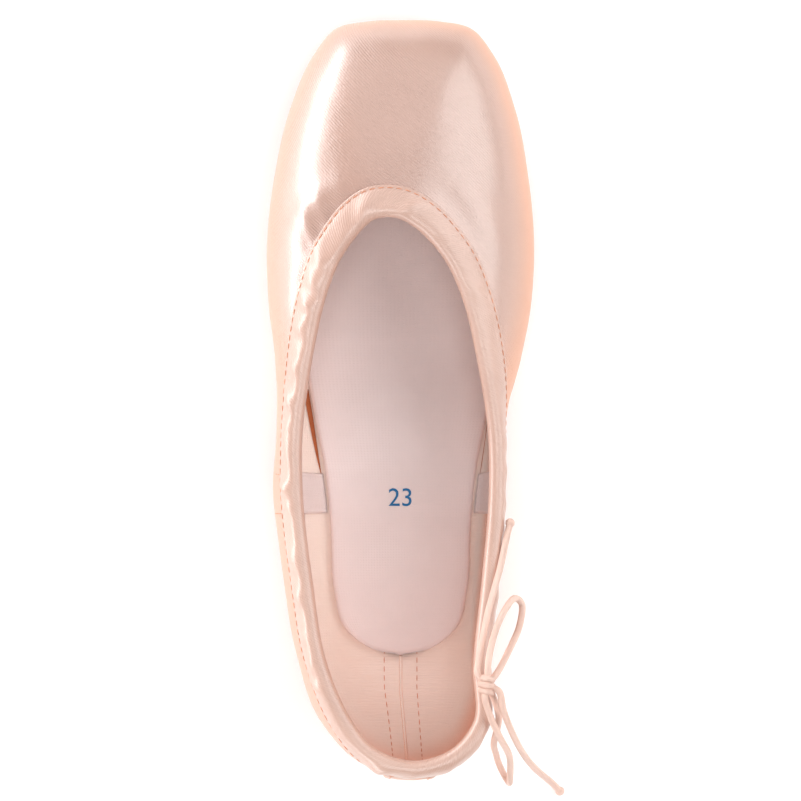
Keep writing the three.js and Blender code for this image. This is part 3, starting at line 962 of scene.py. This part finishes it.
@dataclass
class Overlay:
    """A piece cut from the upper's own surface and laid on or inside its wall.

    base is where its back lies, out from the wall, and edge is how far in its edges are rounded.
    """

    last: Last
    name: str
    slot: str
    finish: Finish
    nodes: tuple[str, ...]
    stages: Array
    rib_ends: RibEnds
    base: float
    thickness: float
    edge: float
    inside: bool = False
    hem: float = 0.0
    hem_width: float = 1.5
    rib_steps: int = 40

    EDGE_THICKNESS: ClassVar[float] = 0.08
    HEM_SPREAD: ClassVar[float] = 0.6

    def build(self) -> None:
        """Makes the piece as a thin closed slab with rounded edges."""
        low, high = self.rib_ends(self.stages)
        share = np.linspace(0, 1, self.rib_steps)[:, None]
        ribs = low + (high - low) * share
        stages = np.broadcast_to(self.stages, ribs.shape)
        face = self.last.face(ribs, stages)
        from_side = np.minimum(share, 1 - share) * np.linalg.norm(face[-1] - face[0], axis=-1)
        down = running(steps(face[len(face) // 2]))
        rounded = edge_round(np.minimum(from_side, np.minimum(down, down[-1] - down)), self.edge)
        hem = self.hem * bell(from_side - self.hem_width, self.hem_width * self.HEM_SPREAD)
        thick = self.EDGE_THICKNESS + (self.thickness - self.EDGE_THICKNESS) * rounded + hem * rounded
        outer = self.last.point(ribs, stages, self.base + (-thick if self.inside else thick))
        inner = self.last.point(ribs, stages, np.full(ribs.shape, self.base))
        if self.inside:
            outer, inner = inner, outer
        points = np.concatenate([outer, inner[:, ::-1]], 1)
        sheet = Sheet(self.name, points, closed_columns=True, capped=True)
        finish_piece(sheet.build(self.finish.material()), self.nodes)


@dataclass
class Plate:
    """A flat piece of the sole, bent along the sole's profile, with rounded edges."""

    last: Last
    name: str
    slot: str
    finish: Finish
    node: str
    outline: Sequence[Pair]
    bottom: float
    thickness: float
    edge: float
    steps_per_row: int = 10
    columns: int = 41
    tip_width: float = 0.05

    def build(self) -> None:
        """Makes the plate as a closed slab."""
        rows = np.array(self.outline, float)
        edge = Spline.through(rows).spread((len(rows) - 1) * self.steps_per_row + 1)
        edge[:, 1] = np.maximum(edge[:, 1], self.tip_width)
        x = edge[:, 1:] * np.sin(np.linspace(-math.pi / 2, math.pi / 2, self.columns))
        y = np.broadcast_to(edge[:, :1], x.shape)
        border = np.vstack([edge[:, ::-1], edge[::-1, ::-1] * [-1, 1]])
        away = np.linalg.norm(np.stack([x, y], -1)[:, :, None, :] - border, axis=-1).min(-1)
        rounded = edge_round(away, self.edge)
        base = sole_top(y) + self.bottom
        top = base + self.thickness * (0.5 + 0.5 * rounded)
        under = base + self.thickness * 0.5 * (1 - rounded)
        upper, lower = (self.last.place(np.stack([x, y, z], -1)) for z in (top, under))
        points = np.concatenate([upper[:, ::-1], lower], 1)
        sheet = Sheet(self.name, points, closed_columns=True, capped=True)
        finish_piece(sheet.build(self.finish.material()), [self.node])


class StitchTree(NodeTree):
    """A Geometry Nodes tree that lays stitches along paths."""

    INPUTS: ClassVar[dict[str, str]] = {
        "Spacing": "NodeSocketFloat", "Length": "NodeSocketFloat", "Thickness": "NodeSocketFloat",
        "Thread": "NodeSocketMaterial",
    }

    def __init__(self) -> None:
        """Builds the tree with its named inputs."""
        super().__init__(bpy.data.node_groups.new("stitch_row", "GeometryNodeTree"))
        face = self.tree.interface
        face.new_socket("Path", in_out="INPUT", socket_type="NodeSocketGeometry")
        self.sockets = {
            name: face.new_socket(name, in_out="INPUT", socket_type=kind)
            for name, kind in self.INPUTS.items()
        }
        face.new_socket("Stitches", in_out="OUTPUT", socket_type="NodeSocketGeometry")
        given = self.tree.nodes.new("NodeGroupInput").outputs
        curve = self.add("GeometryNodeMeshToCurve", "Curve", {"Mesh": given["Path"]})
        spaced = {"Curve": curve, "Length": given["Spacing"]}
        points = self.add("GeometryNodeResampleCurve", "Curve", spaced, mode="LENGTH")
        tangent = self.add("GeometryNodeInputTangent", "Tangent", {})
        turn = self.add("FunctionNodeAlignRotationToVector", "Rotation", {"Vector": tangent}, axis="X")
        ball = self.add("GeometryNodeMeshUVSphere", "Mesh", {"Segments": 8, "Rings": 5, "Radius": 0.5})
        thick = given["Thickness"]
        size = self.add("ShaderNodeCombineXYZ", "Vector", {"X": given["Length"], "Y": thick, "Z": thick})
        stitch = self.add("GeometryNodeTransform", "Geometry", {"Geometry": ball, "Scale": size})
        placed = {"Points": points, "Instance": stitch, "Rotation": turn}
        row = self.add("GeometryNodeInstanceOnPoints", "Instances", placed)
        row = self.add("GeometryNodeRealizeInstances", "Geometry", {"Geometry": row})
        row = self.add("GeometryNodeSetShadeSmooth", "Geometry", {"Geometry": row})
        row = self.add("GeometryNodeSetMaterial", "Geometry", {"Geometry": row, "Material": given["Thread"]})
        self.feed(self.tree.nodes.new("NodeGroupOutput").inputs["Stitches"], row)

    def sew(self, name: str, paths: Sequence[Array], sizes: Triple, thread: Material) -> bpy.types.Object:
        """Turns paths into one mesh of stitches.

        Args:
            name: the piece's name.
            paths: rows of points in metres.
            sizes: the stitches' spacing, length and thickness in metres.
            thread: the stitches' material.

        Returns:
            The stitches as a plain mesh object.
        """
        starts = np.cumsum([0] + [len(path) for path in paths])
        edges = [(k, k + 1) for a, b in zip(starts[:-1], starts[1:]) for k in range(a, b - 1)]
        mesh = bpy.data.meshes.new(name + "_path")
        mesh.from_pydata(np.concatenate(paths).tolist(), edges, [])
        obj = linked(name, mesh)
        modifier = obj.modifiers.new("stitches", "NODES")
        modifier.node_group = self.tree
        for key, value in zip(self.INPUTS, (*sizes, thread)):
            modifier[self.sockets[key].identifier] = value
        sewn = plain_mesh(obj)
        sewn.materials.clear()
        sewn.materials.append(thread)
        obj.modifiers.clear()
        obj.data = sewn
        bpy.data.meshes.remove(mesh)
        return obj


@dataclass(frozen=True)
class Row:
    """A row of stitches up the wall: from a stage to a drop below the collar, some way out from the wall."""

    low: float
    drop: float
    out: float
    points: int

    def stages(self, last: Last, rib: float) -> Array:
        """The stages that the row passes at a rib."""
        return np.linspace(self.low, last.stage_at(rib, self.drop), self.points)


@dataclass
class Stitching:
    """All the rows of thread that show."""

    last: Last
    tree: StitchTree = field(default_factory=StitchTree)
    thickness: float = 0.28
    spacing: float = 2.7
    length: float = 2.0
    collar_points: int = 600
    collar_drop: float = 6.6
    collar_out: float = 1.0
    strip: Row = Row(1.12, 8.2, 1.25, 60)
    strip_inset: float = 2.4
    seam: Row = Row(1.1, 8.0, 0.1, 50)
    seam_aside: float = 6.0
    lining: Row = Row(0.05, 6.3, -WALL - 0.1, 90)
    lining_aside: float = 5.0

    def build(self) -> None:
        """Sews the casing, the heel strip, the side seams and the heel lining."""
        last = self.last
        ribs = np.linspace(0, RIB_COUNT, self.collar_points)
        collar = last.point(ribs, last.stage_below(ribs, self.collar_drop), self.collar_out)
        seams = []
        for seam in SIDE_SEAMS.values():
            stages, aside = self.seam.stages(last, seam), self.seam_aside * last.ribs_per_mm(seam)
            rows = [np.full_like(stages, seam + side * aside) for side in (-1, 1)]
            seams += [last.point(row, stages, self.seam.out) for row in rows]
        thread = THREAD.material()
        sizes = (self.spacing * MM, self.length * MM, self.thickness * MM)
        for name, paths, slot in (
            ("casing_stitches", [collar], "casing_satin"),
            ("heel_strip_stitches", self._up_heel(self.strip, STRIP_HALF_WIDTH - self.strip_inset), "satin"),
            ("side_seam_stitches", seams, "satin"),
            ("lining_stitches", self._up_heel(self.lining, self.lining_aside), "satin"),
        ):
            finish_piece(self.tree.sew(name, paths, sizes, thread))

    def _up_heel(self, row: Row, aside: float) -> list[Array]:
        """Lays a row on each side of the heel's middle.

        Args:
            row: how the row climbs.
            aside: its distance from the middle in millimetres.

        Returns:
            The left row and the right one.
        """
        stages = row.stages(self.last, 0)
        rib = self.last.rib_at_width(stages, aside)
        return [self.last.point(side * rib, stages, row.out) for side in (-1, 1)]


class FarEnd(Enum):
    """How a cord of the bow ends."""

    LOOP = "object"
    KNOT = "knot"


@dataclass(frozen=True)
class BowCord:
    """One cord of the bow, as points from the knot's centre in millimetres."""

    name: str
    end: FarEnd
    points: tuple[Triple, ...]


BOW_CORDS: tuple[BowCord, ...] = (
    BowCord("bow_loop_front", FarEnd.LOOP, (
        (0.2, 3.4, 1.1), (0.8, 9, 0.7), (2.8, 16.5, -1.2), (5.8, 22.6, -4.6), (8.6, 25.4, -8.8),
        (10.8, 23.2, -12.4), (10, 17, -11.8), (7, 10.4, -7.2), (3, 3.4, -1.4),
    )),
    BowCord("bow_loop_rear", FarEnd.LOOP, (
        (-0.6, -3.7, 1.3), (1.2, -9.6, 0.6), (4, -15.8, -2.8), (7, -22, -9.6), (7.2, -29.5, -15.8),
        (7, -30.4, -19.5), (5.7, -28.5, -22.6), (4.1, -25.1, -23.3), (3.2, -22.1, -21.2),
        (2.4, -18.4, -14.4), (3.7, -9.6, -5), (1.9, -3.4, -1.3),
    )),
    BowCord("bow_end_front", FarEnd.KNOT, (
        (-2.7, 3.2, 0.4), (-2.2, 8, -0.8), (-1, 14.2, -2.2), (0.4, 21.2, -3.8), (2.3, 28, -5.9),
        (4.3, 35, -8.5), (5.9, 42.4, -10.8), (7.2, 47.8, -12.6),
    )),
    BowCord("bow_end_rear", FarEnd.KNOT, (
        (3.6, -1.8, 1), (5, -7.6, 0.6), (7.4, -13.8, -3.4), (10.3, -19.8, -11.6), (13.6, -25, -23.6),
        (17.2, -29.2, -37), (20.4, -32.4, -47.4), (23.4, -35.6, -51.7),
    )),
)


@dataclass
class Bow:
    """The drawstring's bow: a knot, two loops and two loose ends."""

    diameter: float = CORD_DIAMETER
    points_per_cord: int = 96
    tucked_in: float = 0.4
    knob_share: float = 0.7
    wraps: float = 2.4
    wrap_points: int = 60
    wrap_radius: float = 1.75
    wrap_pitch: float = 1.9
    wrap_taper: float = 0.12
    centre: Array = field(init=False)
    cord: Material = field(init=False)

    def build(self) -> None:
        """Makes the knot and the cords that leave it."""
        low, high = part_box("bow_knot")
        self.centre = np.array((low + high) / 2)
        self.cord = CORD.material()
        finish_piece(self._knot(), ["bow_knot"])
        for spec in BOW_CORDS:
            self._cord(spec)

    def _tube(self, name: str, route: Array) -> bpy.types.Object:
        """A round curve of the cord's diameter.

        Args:
            name: the object's name.
            route: points in metres.

        Returns:
            The curve object.
        """
        curve = bpy.data.curves.new(name, "CURVE")
        curve.dimensions = "3D"
        curve.bevel_depth = self.diameter * MM / 2
        curve.bevel_resolution = 4
        curve.use_fill_caps = True
        curve.resolution_u = 4
        spline = curve.splines.new("POLY")
        spline.points.add(len(route) - 1)
        for point, place in zip(spline.points, route):
            point.co = (*place, 1.0)
        curve.materials.append(self.cord)
        return linked(name, curve)

    def _cord(self, spec: BowCord) -> None:
        """Makes one cord, its ends tucked into the knot, with a knob on a loose end.

        Args:
            spec: the cord.
        """
        offsets = np.array(spec.points, float)
        tail = offsets[-1:] * self.tucked_in if spec.end is FarEnd.LOOP else offsets[:0]
        offsets = np.concatenate([offsets[:1] * self.tucked_in, offsets, tail])
        route = Spline.through(self.centre + offsets * MM, power=0.5).spread(self.points_per_cord)
        obj = self._tube(spec.name + "_cord", route)
        finish_piece(obj, [spec.name])
        extras = []
        if spec.end is FarEnd.KNOT:
            extras.append(self._knob(spec.name + "_knob", route[-1]))
            finish_piece(extras[0])

    def _knob(self, name: str, place: Array) -> bpy.types.Object:
        """The small knot that keeps a loose end from fraying.

        Args:
            name: the object's name.
            place: its centre.

        Returns:
            The knot's object.
        """
        radius = self.diameter * MM * self.knob_share
        bpy.ops.mesh.primitive_uv_sphere_add(segments=20, ring_count=12, radius=radius)
        obj = bpy.context.object
        obj.name = name
        for vertex in obj.data.vertices:
            vertex.co += Vector(place)
        obj.data.polygons.foreach_set("use_smooth", np.ones(len(obj.data.polygons), bool))
        obj.data.materials.append(self.cord)
        return obj

    def _knot(self) -> bpy.types.Object:
        """Wraps of cord round the bow's waist.

        Returns:
            The wraps as a mesh object.
        """
        turn = np.linspace(0, 2 * math.pi * self.wraps, self.wrap_points)
        offset = (turn / (2 * math.pi) - self.wraps / 2) * self.wrap_pitch
        radius = self.wrap_radius * (1.0 - self.wrap_taper * (offset / self.wrap_pitch) ** 2)
        route = np.stack([radius * np.cos(turn), offset, radius * np.sin(turn)], -1) * MM + self.centre
        coil = self._tube("knot_coil", route)
        mesh = plain_mesh(coil)
        bpy.data.objects.remove(coil)
        return linked("bow_knot_wraps", mesh)


@dataclass
class SizeMark:
    """The plain number printed on the insole."""

    last: Last
    text: str = "23"
    height: float = 5.6
    font_share: float = 1.4
    from_heel: float = 84.4
    thickness: float = 0.06
    lift: float = 0.1
    insole_top: float = INSOLE_BOTTOM + INSOLE_THICKNESS

    def build(self) -> None:
        """Prints the number as a thin mesh of ink."""
        curve = bpy.data.curves.new("size_mark", "FONT")
        curve.body = self.text
        curve.size = self.height * self.font_share * MM
        curve.align_x, curve.align_y = "CENTER", "CENTER"
        curve.extrude = self.thickness * MM
        maker = linked("size_mark_text", curve)
        mesh = plain_mesh(maker)
        bpy.data.objects.remove(maker)
        for vertex in mesh.vertices:
            y = self.from_heel + vertex.co.y / MM
            z = float(sole_top(y)) + self.insole_top + self.lift + vertex.co.z / MM
            vertex.co = Vector(self.last.place(np.array([vertex.co.x / MM, y, z])))
        mesh.materials.clear()
        mesh.materials.append(INK.material())
        finish_piece(linked("size_mark", mesh))


@dataclass(frozen=True)
class Lamp:
    """A soft rectangular light that faces the shoe, in metres and watts; its width lies level."""

    name: str
    place: Triple
    width: float
    height: float
    power: float

    def build(self) -> None:
        """Hangs the light."""
        light = bpy.data.lights.new(self.name, "AREA")
        light.shape = "RECTANGLE"
        light.size, light.size_y = self.width, self.height
        light.energy = self.power
        obj = linked(self.name, light)
        obj.location = self.place
        obj.rotation_euler = (-Vector(self.place)).to_track_quat("-Z", "Y").to_euler()


@dataclass
class Studio:
    """A pale floor, soft lights and a camera straight above the shoe."""

    camera_height: float = 1.5
    frame_width: float = 0.2464
    camera_y: float = -0.0009
    sensor_width: float = 36.0
    floor_size: float = 4.0
    floor_grey: float = 0.93
    floor_glow: float = 0.12
    sky: float = 0.2
    lamps: tuple[Lamp, ...] = (
        Lamp("left_light", (-1.1, 0.6, 0.24), 2.1, 0.44, 22.0),
        Lamp("right_light", (0.92, 0.18, 0.72), 2.2, 1.0, 15.0),
        Lamp("front_light", (0.0, 1.6, 1.5), 2.0, 1.6, 7.0),
        Lamp("back_light", (-0.8, -1.1, 0.4), 1.2, 0.5, 10.0),
        Lamp("top_light", (0.0, -0.35, 1.9), 0.9, 0.9, 11.5),
    )

    def build(self) -> None:
        """Sets the scene round the shoe."""
        self._floor()
        self._sky()
        for lamp in self.lamps:
            lamp.build()
        self._camera()

    def _floor(self) -> None:
        """A plain floor under the sole."""
        bpy.ops.mesh.primitive_plane_add(size=self.floor_size)
        floor = bpy.context.object
        floor.name = "floor"
        graph = Graph("floor")
        graph.shade({
            "Base Color": (self.floor_grey, self.floor_grey, self.floor_grey, 1.0),
            "Roughness": 0.9,
            "Emission Color": (1.0, 1.0, 1.0, 1.0),
            "Emission Strength": self.floor_glow,
        })
        floor.data.materials.append(graph.material)

    def _sky(self) -> None:
        """A dim white surrounding."""
        world = bpy.data.worlds.new("studio")
        world.use_nodes = True
        background = world.node_tree.nodes["Background"].inputs
        background["Color"].default_value = (1.0, 1.0, 1.0, 1.0)
        background["Strength"].default_value = self.sky
        bpy.context.scene.world = world

    def _camera(self) -> None:
        """A long lens that looks straight down, toe at the top."""
        camera = bpy.data.cameras.new("camera")
        camera.sensor_width = self.sensor_width
        camera.lens = camera.sensor_width * self.camera_height / self.frame_width
        obj = linked("camera", camera)
        obj.location = (0.0, self.camera_y, self.camera_height)
        bpy.context.scene.camera = obj
        bpy.context.scene.view_settings.view_transform = "Standard"


@dataclass
class Trim:
    """The heel strip, the seam tapes, the lining's heel seam, the painted shadows in the gaps by the wings
    and the suede tip.

    A low is the stage at which a piece starts, and wings holds each painted shadow's front and back rib.
    """

    last: Last
    strip_low: float = 1.06
    tape_low: float = 0.96
    seam_low: float = 0.05
    seam_half_width: float = 0.5
    wings: tuple[tuple[str, float, float], ...] = (
        ("right", 6.3, 5.2), ("left", RIB_COUNT - 6.6, RIB_COUNT - 5.2),
    )
    wing_stages: Pair = (1.0, 1.13)
    wing_taper: float = 0.8
    patch_stages: Pair = (1.03, 1.82)
    patch_half_ribs: float = 8 / 3

    def build(self) -> None:
        """Cuts and lays every piece."""
        last = self.last
        strip_top = last.stage_at(0, CASING_OUTER_WIDTH + GAP)
        Overlay(
            last, "heel_strip_satin", "satin", SATIN, ("heel_strip",),
            np.linspace(self.strip_low, strip_top, 50), self._beside_heel(STRIP_HALF_WIDTH),
            base=GAP, thickness=0.8, edge=0.8, hem=0.25,
        ).build()
        for name, seam in SIDE_SEAMS.items():
            top = last.stage_at(seam, CASING_INNER_WIDTH + GAP)
            half = TAPE_HALF_WIDTH * last.ribs_per_mm(seam)
            Overlay(
                last, f"seam_tape_{name}_cotton", "tape_cotton", TAPE, (f"seam_tape_{name}",),
                np.linspace(self.tape_low, top, 48), self._around(seam, half),
                base=-WALL - GAP, thickness=0.6, edge=0.5, inside=True, hem=0.25, hem_width=0.7,
            ).build()
        seam_top = last.stage_at(0, CASING_INNER_WIDTH)
        Overlay(
            last, "heel_seam_lining", "satin", LINING, (), np.linspace(self.seam_low, seam_top, 60),
            self._beside_heel(self.seam_half_width), base=-WALL, thickness=0.55, edge=0.4, inside=True,
            rib_steps=9,
        ).build()
        # Dark slivers inside the lining by the insole's edge: painted shadow in the gap beside each wing
        for name, front, back in self.wings:
            Overlay(
                last, f"wing_gap_shadow_{name}", "satin", WING_GAP_SHADOW, (), np.linspace(*self.wing_stages, 16),
                self._tapered(front, back), base=-WALL - 0.25, thickness=0.2, edge=0.1, inside=True,
            ).build()
        Overlay(
            last, "toe_patch_suede", "suede", SUEDE, ("toe_patch",), np.linspace(*self.patch_stages, 50),
            self._around(TOE_RIB, self.patch_half_ribs), base=GAP, thickness=0.9, edge=1.2, rib_steps=90,
        ).build()

    def _beside_heel(self, half_width: float) -> RibEnds:
        """Rib ends that keep one width on each side of the heel's middle."""
        def ends(stages: Array) -> tuple[Array, Array]:
            """The ends at some stages."""
            rib = self.last.rib_at_width(stages, half_width)
            return -rib, rib

        return ends

    @staticmethod
    def _around(rib: float, half: float) -> RibEnds:
        """Rib ends that lie as many ribs on each side of a rib at every stage."""
        return lambda stages: (np.full_like(stages, rib - half), np.full_like(stages, rib + half))

    def _tapered(self, front: float, back: float) -> RibEnds:
        """Rib ends of which the back one draws forwards as the stages rise."""
        def ends(stages: Array) -> tuple[Array, Array]:
            """The ends at some stages."""
            drawn = back + (front - back) * np.linspace(0, self.wing_taper, len(stages))
            return np.minimum(drawn, front), np.maximum(drawn, front)

        return ends


def build_shoe() -> None:
    """Builds and dresses every piece of the shoe."""
    last = Last()
    Upper(last).build()
    Casing(last).build()
    Trim(last).build()
    Plate(
        last, "outsole_suede", "suede", SUEDE, "outsole", SOLE_OUTLINE, bottom=-SOLE_THICKNESS,
        thickness=SOLE_THICKNESS, edge=1.4,
    ).build()
    Plate(
        last, "insole_cotton", "insole_cotton", INSOLE, "insole", INSOLE_OUTLINE, bottom=INSOLE_BOTTOM,
        thickness=INSOLE_THICKNESS, edge=1.6,
    ).build()
    SizeMark(last).build()
    Stitching(last).build()
    Bow().build()


def main() -> None:
    logging.basicConfig(level=logging.INFO, format="%(name)s %(message)s")
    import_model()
    build_shoe()
    Studio().build()
    bpy.context.view_layer.update()


if __name__ == "__main__":
    main()
